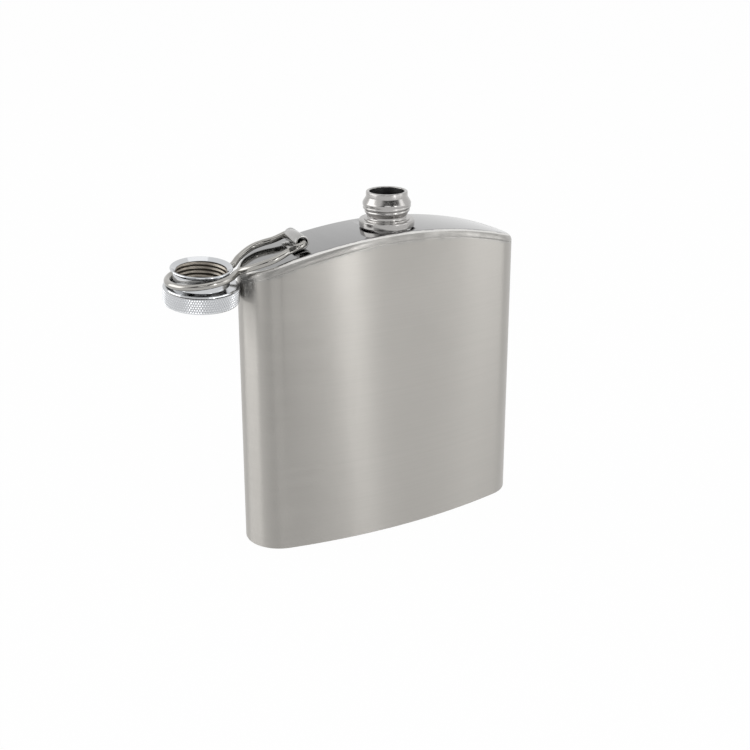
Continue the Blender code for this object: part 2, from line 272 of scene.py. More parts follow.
class Tree:
    """Short-hand for building one node tree."""

    def __init__(self, tree: bpy.types.NodeTree) -> None:
        """Keeps the tree that nodes are added to."""
        self.tree = tree

    def add(self, kind: str, inputs: dict | None = None, **settings: object) -> Node:
        """Adds a node.

        Args:
            kind: The node's type, without the ShaderNode in front.
            inputs: Values or sockets for its inputs, by name or index.
            settings: The node's own properties.

        Returns:
            The node.
        """
        node = self.tree.nodes.new("ShaderNode" + kind)
        for key, value in settings.items():
            setattr(node, key, value)
        for key, value in (inputs or {}).items():
            self.feed(node.inputs[key], value)
        return node

    def feed(self, socket: Socket, value: object) -> None:
        """Gives an input its value.

        Args:
            socket: The input.
            value: A socket to link into it, or its constant.
        """
        if isinstance(value, Socket):
            self.tree.links.new(value, socket)
        else:
            socket.default_value = value

    def math(self, operation: str, *values: object, clamp: bool = False) -> Socket:
        """Adds a Math node.

        Args:
            operation: What it works out.
            values: Its inputs.
            clamp: Whether the result is held between 0 and 1.

        Returns:
            Its result.
        """
        node = self.add("Math", operation=operation, use_clamp=clamp)
        for socket, value in zip(node.inputs, values):
            self.feed(socket, value)
        return node.outputs[0]

    def noise(self, place: Socket, scale: float, detail: float, roughness: float = 0.5) -> Socket:
        """A noise pattern's value."""
        inputs = {"Vector": place, "Scale": scale, "Detail": detail, "Roughness": roughness}
        return self.add("TexNoise", inputs).outputs[0]

    def fit(self, value: Socket, low: float, high: float, to_low: float, to_high: float) -> Socket:
        """Fits a value from one range into another, smoothly and held at its ends.

        Args:
            value: The value.
            low: The first range's start.
            high: The first range's end.
            to_low: The second range's start.
            to_high: The second range's end.

        Returns:
            The fitted value.
        """
        node = self.add("MapRange", interpolation_type="SMOOTHSTEP")
        for socket, given in zip(node.inputs, (value, low, high, to_low, to_high)):
            self.feed(socket, given)
        return node.outputs[0]

    def blend(self, share: object, first: object, second: object) -> Socket:
        """Mixes two colours.

        Args:
            share: The second colour's share.
            first: The first colour.
            second: The second colour.

        Returns:
            The mixed colour.
        """
        node = self.add("Mix", data_type="RGBA")
        colours = [socket for socket in node.inputs if socket.type == "RGBA"]
        self.feed(node.inputs[0], share)
        self.feed(colours[0], first)
        self.feed(colours[1], second)
        return next(socket for socket in node.outputs if socket.type == "RGBA")

    def stretched(self, source: Socket, scale: Triple, turn: Triple = (0, 0, 0)) -> Socket:
        """A vector turned and with its axes scaled apart, for streaked patterns."""
        return self.add("Mapping", {"Vector": source, "Rotation": turn, "Scale": scale}).outputs[0]


def shared_group(name: str, inputs: Sockets, outputs: Sockets) -> tuple[Tree, Node, Node]:
    """Starts a shader node group with named sockets.

    Args:
        name: The group's name.
        inputs: Pairs of socket name and kind.
        outputs: Pairs of socket name and kind.

    Returns:
        The group's tree, its input node and its output node.
    """
    group = bpy.data.node_groups.new(name, "ShaderNodeTree")
    for way, sockets in (("INPUT", inputs), ("OUTPUT", outputs)):
        for label, kind in sockets:
            group.interface.new_socket(name=label, in_out=way, socket_type="NodeSocket" + kind)
    tree = Tree(group)
    return tree, group.nodes.new("NodeGroupInput"), group.nodes.new("NodeGroupOutput")


@dataclass(frozen=True)
class SharedEffects:
    """Effects that several metals use, with the scales of their patterns."""

    coarse_scale: float = 0.21
    smudge_scale: float = 55.0
    hair_turn: Triple = (0.3, 0.5, 0.7)
    hair_scale: Triple = (900.0, 90.0, 90.0)
    hair_edge: Pair = (0.68, 0.72)

    @cached_property
    def grain(self) -> bpy.types.NodeTree:
        """Fine streaks from brushing, drawing or turning, with a coarser layer under them.

        Returns:
            The group; it puts out the streaks, spread from 0 to 1, and their plain height.
        """
        tree, given, result = shared_group(
            "metal_grain",
            [("Vector", "Vector"), ("Coarse share", "Float")],
            [("Streak", "Float"), ("Height", "Float")],
        )
        fine = tree.noise(given.outputs[0], 1.0, 3.0, 0.7)
        wide = tree.stretched(given.outputs[0], (self.coarse_scale,) * 3)
        coarse = tree.noise(wide, 1.0, 2.0)
        both = tree.add("Mix", {0: given.outputs[1], 2: fine, 3: coarse})
        tree.feed(result.inputs[0], tree.fit(both.outputs[0], 0.3, 0.7, 0.0, 1.0))
        tree.feed(result.inputs[1], both.outputs[0])
        return tree.tree

    @cached_property
    def handling(self) -> bpy.types.NodeTree:
        """Soft smudges and a few hair scratches from use.

        Returns:
            The group; it puts out masks of the smudges and of the scratches.
        """
        tree, given, result = shared_group(
            "handling_marks",
            [("Vector", "Vector"), ("Scratch amount", "Float")],
            [("Smudge", "Float"), ("Scratch", "Float")],
        )
        cloud = tree.noise(given.outputs[0], self.smudge_scale, 3.0, 0.55)
        tree.feed(result.inputs[0], tree.fit(cloud, 0.35, 0.7, 0.0, 1.0))
        turned = tree.stretched(given.outputs[0], self.hair_scale, self.hair_turn)
        thin = tree.fit(tree.noise(turned, 1.0, 1.0), *self.hair_edge, 0.0, 1.0)
        tree.feed(result.inputs[1], tree.math("MULTIPLY", thin, given.outputs[1]))
        return tree.tree


EFFECTS = SharedEffects()


def blank_material(name: str) -> tuple[Material, Tree, Node]:
    """Starts a material.

    Args:
        name: Its name.

    Returns:
        The material, its tree and its Principled shader.
    """
    made = bpy.data.materials.new(name)
    made.use_nodes = True
    return made, Tree(made.node_tree), made.node_tree.nodes["Principled BSDF"]


def toned(colour: Triple, factor: float) -> tuple[float, ...]:
    """A colour made lighter or darker by a factor, up to white, with full alpha."""
    return (*(min(1, channel * factor) for channel in colour), 1)


@dataclass(frozen=True)
class Metal:
    """A metal finish: colour, gloss and the marks that its making leaves.

    Marks are laid out on Object coordinates, or on an attribute that follows the piece.
    """

    name: str
    colour: Triple
    roughness: float
    anisotropy: float = 0.0
    turn: float = 0.0
    lay: str = ""
    scale: Triple = (40.0, 40.0, 2600.0)
    coarse: float = 0.4
    depth: float = 0.25
    bump_height: float = 0.00003
    tone: float = 0.10
    gloss_change: float = 0.08
    scratches: float = 0.25

    def make(self) -> Material:
        """Builds the material.

        Returns:
            The material, its Principled shader fed by grain and handling marks.
        """
        made, tree, shader = blank_material(self.name)
        place = laid = tree.add("TexCoord").outputs["Object"]
        if self.lay:
            laid = tree.add("Attribute", attribute_name=self.lay).outputs["Vector"]
        grain = tree.add("Group", node_tree=EFFECTS.grain)
        tree.feed(grain.inputs[0], tree.stretched(laid, self.scale))
        tree.feed(grain.inputs[1], self.coarse)
        marks = tree.add("Group", node_tree=EFFECTS.handling)
        tree.feed(marks.inputs[0], place)
        tree.feed(marks.inputs[1], self.scratches)
        light, dark = toned(self.colour, 1 + self.tone), toned(self.colour, 1 - self.tone)
        colour = tree.blend(grain.outputs["Streak"], dark, light)
        colour = tree.blend(marks.outputs["Scratch"], colour, light)
        play = self.roughness * self.gloss_change
        low, high = self.roughness - play, self.roughness + play
        rough = tree.fit(grain.outputs["Streak"], 0, 1, low, high)
        smudged = tree.math("MULTIPLY", marks.outputs["Smudge"], play)
        rough = tree.math("ADD", rough, smudged, clamp=True)
        colour, rough = self.dress(tree, place, colour, rough)
        height = {"Height": grain.outputs["Height"], "Distance": self.bump_height}
        bump = tree.add("Bump", {**height, "Strength": self.depth})
        tree.feed(shader.inputs["Base Color"], colour)
        tree.feed(shader.inputs["Roughness"], rough)
        tree.feed(shader.inputs["Normal"], bump.outputs[0])
        shader.inputs["Metallic"].default_value = 1.0
        shader.inputs["Anisotropic"].default_value = self.anisotropy
        shader.inputs["Anisotropic Rotation"].default_value = self.turn
        made.diffuse_color = (*self.colour, 1)
        return made

    def dress(
        self, tree: Tree, place: Socket, colour: Socket, rough: Socket
    ) -> tuple[Socket, Socket]:
        """Adds what one finish alone has; a plain metal adds nothing."""
        return colour, rough


@dataclass(frozen=True)
class GroundSeam(Metal):
    """Steel whose welded edge was ground by hand, told by the attribute seam (1 on the seam); a
    seam colour far lighter than the steel also paints a highlight there.
    """

    # On the top plate this colour is a painted highlight along the rolled edge as well as the
    # ground tone.
    seam_and_glint_colour: Triple = (0.62, 0.61, 0.58)
    seam_roughness: float = 0.42
    patch_scale: float = 210.0
    spot_tone: float = 1.2

    def dress(
        self, tree: Tree, place: Socket, colour: Socket, rough: Socket
    ) -> tuple[Socket, Socket]:
        """Brightens and roughens the seam, unevenly; where the seam colour is far lighter than the
        steel, the brightening is a painted highlight.

        Args:
            tree: The material's tree.
            place: Object coordinates.
            colour: The plain metal's colour.
            rough: The plain metal's roughness.

        Returns:
            The colour and roughness with the ground seam, and where it is far lighter its painted
            highlight, in them.
        """
        seam = tree.add("Attribute", attribute_name="seam").outputs["Fac"]
        patch = tree.noise(place, self.patch_scale, 3.0, 0.6)
        edge = tree.math("ADD", seam, tree.fit(patch, 0.3, 0.7, -0.25, 0.25))
        share = tree.fit(edge, 0.3, 0.8, 0.0, 1.0)
        spots = tree.fit(patch, 0.55, 0.68, 0.0, 0.35)
        # Seam colour with lighter random spots; on the top plate it is a painted highlight line.
        plain, bright = toned(self.seam_and_glint_colour, 1), toned(self.seam_and_glint_colour, self.spot_tone)
        ground = tree.blend(spots, plain, bright)
        smooth, coarse = self.seam_roughness * 0.8, self.seam_roughness * 1.15
        ground_rough = tree.fit(patch, 0.35, 0.65, smooth, coarse)
        both = tree.add("Mix", {0: share, 2: rough, 3: ground_rough})
        return tree.blend(share, colour, ground), both.outputs[0]


@dataclass(frozen=True)
class Rubber:
    """Matte seal rubber with fine grains and dust."""

    name: str
    colour: Triple
    grain_scale: float = 3200.0
    dust_scale: float = 420.0
    dust_tone: float = 1.9
    bump_height: float = 0.00004

    def make(self) -> Material:
        """Builds the material.

        Returns:
            The material, its Principled shader fed by grains and dust.
        """
        made, tree, shader = blank_material(self.name)
        place = tree.add("TexCoord").outputs["Object"]
        grain = tree.noise(place, self.grain_scale, 2.0)
        dust = tree.fit(tree.noise(place, self.dust_scale, 3.0), 0.45, 0.75, 0, 1)
        colour = tree.blend(dust, toned(self.colour, 1), toned(self.colour, self.dust_tone))
        bump = tree.add("Bump", {"Height": grain, "Strength": 0.3, "Distance": self.bump_height})
        tree.feed(shader.inputs["Base Color"], colour)
        tree.feed(shader.inputs["Roughness"], tree.fit(grain, 0.3, 0.7, 0.55, 0.75))
        tree.feed(shader.inputs["Normal"], bump.outputs[0])
        return made


# How marks lie on a turned piece: on its radius and height, close together.
TURNING = {"lay": "turning", "scale": (900.0, 1.0, 5200.0)}


class Finishes:
    """The flask's finishes, each made once."""

    def __init__(self) -> None:
        """Builds every material."""
        self.wall = GroundSeam(
            "brushed_steel_wall",
            (0.445, 0.43, 0.405),
            0.36,
            anisotropy=1.0,
            turn=0.25,
            scale=(22.0, 22.0, 2600.0),
            tone=0.03,
            seam_and_glint_colour=(0.46, 0.45, 0.43),
        ).make()
        self.top = GroundSeam(
            "polished_steel_top",
            (0.30, 0.30, 0.30),
            0.10,
            scale=(300.0, 60.0, 300.0),
            tone=0.03,
            depth=0.05,
            # Painted highlight: the rolled edge's start is coloured far lighter than the polished
            # face.
            seam_and_glint_colour=(0.72, 0.71, 0.69),
        ).make()
        self.base = Metal(
            "brushed_steel_base", (0.42, 0.41, 0.39), 0.40, scale=(40.0, 2200.0, 40.0)
        ).make()
        self.spout = Metal(
            "turned_steel", (0.41, 0.40, 0.39), 0.17, depth=0.20, tone=0.08, **TURNING
        ).make()
        # Painted shade: the bore's steel is coloured near-black because the hole is dark inside.
        self.bore = Metal(
            "bore_painted_shade", (0.06, 0.06, 0.06), 0.45, depth=0.3, tone=0.15, **TURNING
        ).make()
        self.strip = Metal(
            "polished_strip", (0.42, 0.415, 0.405), 0.16, scale=(60.0, 1400.0, 60.0), tone=0.06
        ).make()
        self.wire = Metal(
            "nickel_wire",
            (0.37, 0.36, 0.34),
            0.15,
            lay="drawing",
            scale=(5.0, 5.0, 60.0),
            depth=0.35,
            tone=0.12,
        ).make()
        self.chrome = Metal(
            "chrome_plate", (0.58, 0.59, 0.605), 0.09, depth=0.05, tone=0.03, **TURNING
        ).make()
        self.cut_thread = Metal(
            "cut_thread", (0.34, 0.31, 0.27), 0.36, depth=0.3, tone=0.10, **TURNING
        ).make()
        self.rubber = Rubber("seal_rubber", (0.045, 0.045, 0.045)).make()


def hand_over(piece: Piece, body: Body, slot: Slot, node: str, *finishes: Material) -> None:
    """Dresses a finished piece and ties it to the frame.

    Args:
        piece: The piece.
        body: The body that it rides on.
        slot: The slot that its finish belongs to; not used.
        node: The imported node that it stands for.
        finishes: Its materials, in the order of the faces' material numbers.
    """
    for finish in finishes:
        piece.data.materials.append(finish)
    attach(piece, body.value)
    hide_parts(node)
    LOG.info("%s: %d faces on %s", piece.name, len(piece.data.polygons), body.value)


# The flask's body.


@dataclass(frozen=True)
class Section:
    """The flask's outline from above: a bowed front, a hollow back and round ends."""

    width: float = 93.0 * MM
    depth: float = 24.5 * MM
    front_bow: float = 6.0 * MM
    back_bow: float = 2.3 * MM
    side_height: float = 87.4 * MM
    arch_rise: float = 8.6 * MM
    spout_forward: float = 1.5 * MM
    stations: int = 150

    @property
    def half(self) -> float:
        """Half the width."""
        return self.width / 2

    def top(self, x: float) -> float:
        """Height of the arched top plate."""
        return self.side_height + self.arch_rise * (1 - (x / self.half) ** 2)

    @staticmethod
    def bow_radius(half: float, bow: float) -> float:
        """Radius of an arc with this half width and bow."""
        return (half**2 + bow**2) / (2 * bow)

    @cached_property
    def arcs(self) -> tuple[float, float, float, float, float, float]:
        """The front, back and end circles.

        Returns:
            Front radius and centre, back radius and centre, end radius and the end centre's y.
        """
        front = self.bow_radius(self.half, self.front_bow)
        back = self.bow_radius(self.half, self.back_bow)
        front_centre, back_centre = front - self.depth / 2, back + self.depth / 2
        low, high = self.depth / 10, self.depth / 2 + self.back_bow
        for _ in range(SOLVER_STEPS):
            end = (low + high) / 2
            reach = self.half - end
            near = front_centre - math.sqrt((front - end) ** 2 - reach**2)
            far = back_centre - math.sqrt((back + end) ** 2 - reach**2)
            low, high = (end, high) if near < far else (low, end)
        return front, front_centre, back, back_centre, low, near

    def outline(self, inset: float) -> list[Pair]:
        """The outline drawn in by inset, from the left end along the front and back again.

        Args:
            inset: How far it is drawn in.

        Returns:
            Two points for each station, one at each end.
        """
        front, front_centre, back, back_centre, end, end_y = self.arcs
        end_x = self.half - end
        steps = range(self.stations + 1)
        widths = [-(self.half - inset) * math.cos(math.pi * step / self.stations) for step in steps]

        def edge(x: float, radius: float, centre: float, end_radius: float, side: int) -> float:
            """One side's y at x.

            Args:
                x: The place along the width.
                radius: The side's radius.
                centre: Its centre's y.
                end_radius: Its centre's distance from the end circle's centre.
                side: -1 for the front and 1 for the back.

            Returns:
                The y.
            """
            if abs(x) <= end_x * radius / end_radius:
                return centre - math.sqrt(radius**2 - x**2)
            return end_y + side * math.sqrt(max(0, (end - inset) ** 2 - (abs(x) - end_x) ** 2))

        near = [(x, edge(x, front - inset, front_centre, front - end, -1)) for x in widths]
        widths = widths[-2:0:-1]
        far = [(x, edge(x, back + inset, back_centre, back + end, 1)) for x in widths]
        return near + far

    def start(self, shape: Shape, inset: float, height: HeightAt) -> Edges:
        """Draws the outline in an empty bmesh.

        Args:
            shape: The bmesh.
            inset: How far the outline is drawn in.
            height: Height at x.

        Returns:
            The outline's edges.
        """
        station = shape.verts.layers.int.new("station")
        ring = []
        for number, (x, y) in enumerate(self.outline(inset)):
            vert = shape.verts.new((x, y, height(x)))
            vert[station] = number
            ring.append(vert)
        return [shape.edges.new(pair) for pair in zip(ring, ring[1:] + ring[:1])]

    def grow(self, shape: Shape, edges: Edges, inset: float, height: HeightAt) -> Edges:
        """Extrudes the last outline to a new inset and height.

        Args:
            shape: The bmesh.
            edges: The last outline's edges.
            inset: How far the new outline is drawn in.
            height: Its height at x.

        Returns:
            The new outline's edges.
        """
        station = shape.verts.layers.int["station"]
        places = self.outline(inset)
        verts, made = extrude(shape, edges)
        for vert in verts:
            x, y = places[vert[station]]
            vert.co = (x, y, height(x))
        return made

    def cover(self, shape: Shape, edges: Edges) -> None:
        """Fills an outline with strips that run from its front to its back.

        Args:
            shape: The bmesh.
            edges: The outline's edges.
        """
        station = shape.verts.layers.int["station"]
        ring = {vert[station]: vert for edge in edges for vert in edge.verts}
        bmesh.ops.contextual_create(shape, geom=edges)
        for number in range(1, self.stations):
            pair = [ring[number], ring[2 * self.stations - number]]
            bmesh.ops.connect_verts(shape, verts=pair)


@dataclass(frozen=True)
class FlaskBody:
    """The bent wall, the arched top plate with its rolled edge, and the base."""

    section: Section = Section()
    sheet: float = 0.6 * MM
    edge_radius: float = 1.9 * MM
    edge_steps: int = 10
    skirt: float = 0.4 * MM
    base_thickness: float = 0.8 * MM
    base_bevel: float = 0.15 * MM
    bevel_steps: int = 4
    base_play: float = 0.05 * MM
    foot: float = 0.25 * MM
    lip: float = 0.15 * MM
    hole_radius: float = 6.15 * MM
    hole_sides: int = 96
    seam_width: float = 1.6 * MM
    seam_rows: tuple[float, ...] = (8.0 * MM, 3.2 * MM, 1.6 * MM, 0.8 * MM, 0.4 * MM, 0.0)
    seam_share: float = 0.12
    polished_share: float = 0.32

    def note_seam(self, piece: Piece, share: Callable[[Vector], float]) -> None:
        """Stores how much of the ground seam, and on the top plate of its painted highlight, each
        vertex has.

        Args:
            piece: The piece.
            share: Gives the seam's share, from 0 to 1, at a place.
        """
        seam = piece.data.attributes.new("seam", "FLOAT", "POINT")
        for vert, mark in zip(piece.data.vertices, seam.data):
            mark.value = share(vert.co)

    def build_wall(self, finish: Material) -> None:
        """Builds the wall, its foot turned in a little over the base.

        Args:
            finish: The wall's finish.
        """
        top, drop = self.section.top, self.edge_radius + self.skirt
        shape = bmesh.new()
        edges = self.section.start(shape, self.lip, lambda x: self.foot)
        for inset, rise in ((self.lip / 4, self.lip / 3), (0, self.lip)):
            edges = self.section.grow(shape, edges, inset, lambda x, r=rise: self.foot + r)
        for below in self.seam_rows:
            edges = self.section.grow(shape, edges, 0, lambda x, b=below: top(x) - drop - b)
        close_up(shape)
        wall = as_piece("wall_shell", shape)
        self.note_seam(wall, lambda co: max(0, 1 - (top(co.x) - drop - co.z) / self.seam_width))
        thicken(wall, self.sheet, -1)
        settle(wall)
        hand_over(wall, Body.FLASK, Slot.BRUSHED, "body_wall", finish)

    def build_top(self, finish: Material, ground: Material) -> None:
        """Builds the top plate: skirt, rolled edge and arched face, with the spout's hole.

        Args:
            finish: The polished face's finish, with a painted highlight line where the rolled edge
                starts.
            ground: The finish of the edge, ground down with the wall.
        """
        top, radius = self.section.top, self.edge_radius
        shape = bmesh.new()
        edges = self.section.start(shape, 0, lambda x: top(x) - radius - self.skirt)
        edges = self.section.grow(shape, edges, 0, lambda x: top(x) - radius)
        for inset, drop in quarter_round(radius, self.edge_steps):
            edges = self.section.grow(shape, edges, inset, lambda x, d=drop: top(x) - d)
        self.section.cover(shape, edges)
        close_up(shape)
        plate = as_piece("top_sheet", shape)
        # This share also lays the painted highlight line where the rolled edge leaves the flat top.
        rim = radius * self.seam_share
        self.note_seam(plate, lambda co: min(1, (top(co.x) - co.z) / rim))
        thicken(plate, self.sheet, -1)
        cutter = self.hole_cutter()
        hole = plate.modifiers.new("hole", "BOOLEAN")
        hole.operation = "DIFFERENCE"
        hole.object = cutter
        settle(plate)
        bpy.data.objects.remove(cutter)
        for face in plate.data.polygons:
            drop = top(face.center.x) - face.center.z
            face.material_index = int(drop > radius * self.polished_share)
        hand_over(plate, Body.FLASK, Slot.POLISHED, "top_plate", finish, ground)

    def hole_cutter(self) -> Piece:
        """Makes the round tool that cuts the spout's hole.

        Returns:
            The tool.
        """
        shape = bmesh.new()
        bmesh.ops.create_cone(
            shape,
            cap_ends=True,
            segments=self.hole_sides,
            radius1=self.hole_radius,
            radius2=self.hole_radius,
            depth=4 * self.edge_radius,
            matrix=Matrix.Translation((0, -self.section.spout_forward, self.section.top(0))),
        )
        return as_piece("hole_cutter", shape)

    def build_base(self, finish: Material) -> None:
        """Builds the flat base with its bevelled edge, set inside the wall's foot.

        Args:
            finish: The base's finish.
        """
        inside = self.sheet + self.base_play
        shape = bmesh.new()
        edges = self.section.start(shape, inside + self.base_bevel, lambda x: 0)
        self.section.cover(shape, edges)
        for rise, inset in quarter_round(self.base_bevel, self.bevel_steps):
            edges = self.section.grow(shape, edges, inside + inset, lambda x, r=rise: r)
        edges = self.section.grow(shape, edges, inside, lambda x: self.base_thickness)
        self.section.cover(shape, edges)
        close_up(shape)
        base = as_piece("base_sheet", shape)
        hand_over(base, Body.FLASK, Slot.BRUSHED, "bottom_plate", finish)

    def build(self, finishes: Finishes) -> None:
        """Builds the body's three pieces.

        Args:
            finishes: The flask's finishes.
        """
        self.build_wall(finishes.wall)
        self.build_top(finishes.top, finishes.wall)
        self.build_base(finishes.base)


@dataclass(frozen=True)
class Spout:
    """The turned neck: flange, waist, thread and lip round the bore. Heights are from the seat."""

    section: Section = Section()
    seat: float = 0.2 * MM
    bore: float = 5.25 * MM
    lip_radius: float = 6.25 * MM
    height: float = 10.6 * MM
    lip_round: float = 0.3 * MM
    spigot_radius: float = 5.95 * MM
    spigot_depth: float = 1.2 * MM
    flange_radius: float = 8.35 * MM
    flange_height: float = 2.1 * MM
    flange_edge: float = 0.22 * MM
    foot_radius: float = 6.9 * MM
    foot_height: float = 0.3 * MM
    waist_radius: float = 5.95 * MM
    waist_top: float = 3.2 * MM
    waist_curve: float = 1.7
    crest_radius: float = 7.28 * MM
    crest_top: float = 7.2 * MM
    crest_round: float = 0.05 * MM
    shoulder_top: float = 8.95 * MM
    thread_depth: float = 0.30 * MM
    thread_pitch: float = 1.3 * MM
    thread_crest: float = 6.25 * MM
    thread_start: float = 0.35
    thread_fade: float = 1.4
    thread_shape: float = 1.5
    thread_rows: int = 72
    skin: float = 0.02 * MM
    level_face: float = 0.5
    sharp_angle: float = 28.0
    corner_steps: int = 4
    lip_steps: int = 5
    steps: int = 144

    def profile(self) -> Profile:
        """Half section of the spout, from the spigot up the outside and down the bore.

        Returns:
            Points (radius, height) of a closed section.
        """
        edge, flange, foot = self.flange_edge, self.flange_radius, self.foot_height
        deck, lip = self.flange_height, self.lip_round
        outer = [(self.spigot_radius, -self.spigot_depth), (self.spigot_radius, 0)]
        outer += arc((flange - edge, edge), edge, -90, 0, self.corner_steps)
        outer += arc((flange - edge, deck - edge), edge, 0, 90, self.corner_steps)
        outer += [(self.foot_radius, deck)]
        corner = (self.foot_radius - foot / 2, deck + foot / 2)
        outer += arc(corner, foot / 2, 0, 90, self.corner_steps)
        corner = (self.waist_radius + foot, deck + 2 * foot)
        outer += arc(corner, foot, -90, -180, self.corner_steps)
        for row in range(self.thread_rows + 1):
            climb = (self.shoulder_top - self.waist_top) * row / self.thread_rows
            outer.append((self.swell(self.waist_top + climb), self.waist_top + climb))
        outer += arc((self.lip_radius - lip, self.height - lip), lip, 0, 90, self.lip_steps)
        inner = arc((self.bore + lip, self.height - lip), lip, 90, 180, self.lip_steps)
        return outer + inner + [(self.bore, -self.spigot_depth)]

    def swell(self, height: float) -> float:
        """The threaded part without its grooves: a cone, a crest band and a waist.

        Args:
            height: Height over the seat.

        Returns:
            Its radius there.
        """
        if height > self.thread_crest:
            slope = (self.crest_radius - self.lip_radius) / (self.shoulder_top - self.crest_top)
            cone = self.lip_radius + (self.shoulder_top - height) * slope
            apart = math.hypot(cone - self.crest_radius, 2 * self.crest_round)
            blend = (cone + self.crest_radius - apart) / 2 + self.crest_round
            return min(self.crest_radius, blend)
        share = (self.thread_crest - height) / (self.thread_crest - self.waist_top)
        rise = self.crest_radius - self.waist_radius
        return self.waist_radius + rise * (1 - share**self.waist_curve)

    def thread(self, radius: float, angle: float, height: float) -> float:
        """The groove that winds down from the crest.

        Args:
            radius: Radius of a place on the spout.
            angle: Its angle.
            height: Its height over the seat.

        Returns:
            The step in radius there.
        """
        inside = radius < self.waist_radius - self.skin
        if inside or not self.waist_top < height < self.shoulder_top:
            return 0.0
        turns = (height - self.thread_crest) / self.thread_pitch - angle / math.tau
        wave = 0.5 - 0.5 * math.cos(math.tau * turns)
        start = self.thread_crest + self.thread_pitch * self.thread_start
        below = min(1, max(0, (start - height) / self.thread_pitch))
        fade = min(1, (height - self.waist_top) / (self.thread_fade * self.thread_pitch))
        return -self.thread_depth * wave**self.thread_shape * below * fade

    def build(self, finishes: Finishes) -> None:
        """Builds the spout, with the bore's faces in their own near-black finish, painted shade
        down the hole.

        Args:
            finishes: The flask's finishes.
        """
        shape = lathe(self.profile(), self.steps, closed=True)
        cut_in(shape, self.thread)
        for face in shape.faces:
            middle = face.calc_center_median()
            inside = math.hypot(middle.x, middle.y) < self.bore + self.skin
            # The bore's upright faces take the near-black painted shade finish.
            face.material_index = int(inside and abs(face.normal.z) < self.level_face)
        spout = as_piece("threaded_spout", shape, self.sharp_angle)
        note_turning(spout)
        seat = self.section.top(0) + self.seat
        spout.data.transform(Matrix.Translation((0, -self.section.spout_forward, seat)))
        hand_over(spout, Body.FLASK, Slot.TURNED, "spout", finishes.spout, finishes.bore)


# The hinge, the bail and the cap.


@dataclass(frozen=True)
class Hinge:
    """The hinge's place, and the strip rolled round the wire's ends with its flat tail."""

    section: Section = Section()
    cap_reach: float = 11.2 * MM
    rise: float = 2.4 * MM
    bail_turn: float = math.radians(5.5)
    length: float = 10.5 * MM
    strip: float = 0.45 * MM
    barrel_radius: float = 1.825 * MM
    strip_start: float = 220.0
    roll_steps: int = 56
    tail: float = 3.4 * MM
    edge: float = 0.08 * MM
    edge_angle: float = math.radians(60)

    @property
    def setback(self) -> float:
        """Hinge axis to spout axis, and to the hanging cap's, so that the cap clears the end."""
        return (self.section.half + self.cap_reach) / (2 * math.cos(self.bail_turn))

    @property
    def axis(self) -> Vector:
        """A point on the hinge's axis."""
        height = self.section.top(-self.setback) + self.rise
        return Vector((-self.setback, -self.section.spout_forward, height))

    @property
    def turn(self) -> Matrix:
        """Turns the hinge and the bail about the spout's axis, along the bowed plate."""
        spout = Matrix.Translation((0, -self.section.spout_forward, 0))
        return spout @ Matrix.Rotation(-self.bail_turn, 4, "Z") @ spout.inverted()

    def build(self, finishes: Finishes) -> None:
        """Rolls the strip from its section, gives it its thickness and breaks its edges.

        Args:
            finishes: The flask's finishes.
        """
        radius = self.barrel_radius
        section = arc((0, 0), radius, self.strip_start, -90, self.roll_steps)
        section += [(-self.tail, -radius)]
        shape = bmesh.new()
        points = [shape.verts.new((x, -self.length / 2, z)) for x, z in section]
        edges = [shape.edges.new(pair) for pair in zip(points, points[1:])]
        swept, _ = extrude(shape, edges)
        bmesh.ops.translate(shape, verts=swept, vec=(0, self.length, 0))
        top = self.section.top
        climb = top(radius - self.setback) - top(-radius - self.setback)
        slope = math.atan(climb / (2 * radius))
        bmesh.ops.rotate(shape, verts=shape.verts, matrix=Matrix.Rotation(-slope, 3, "Y"))
        bmesh.ops.translate(shape, verts=shape.verts, vec=self.axis)
        bmesh.ops.transform(shape, verts=shape.verts, matrix=self.turn)
        close_up(shape)
        strip = as_piece("rolled_strip", shape)
        thicken(strip, self.strip, 0)
        bevel = strip.modifiers.new("broken_edges", "BEVEL")
        bevel.width = self.edge
        bevel.segments = 2
        bevel.limit_method = "ANGLE"
        bevel.angle_limit = self.edge_angle
        hand_over(strip, Body.FLASK, Slot.POLISHED, "hinge_bracket", finishes.strip)


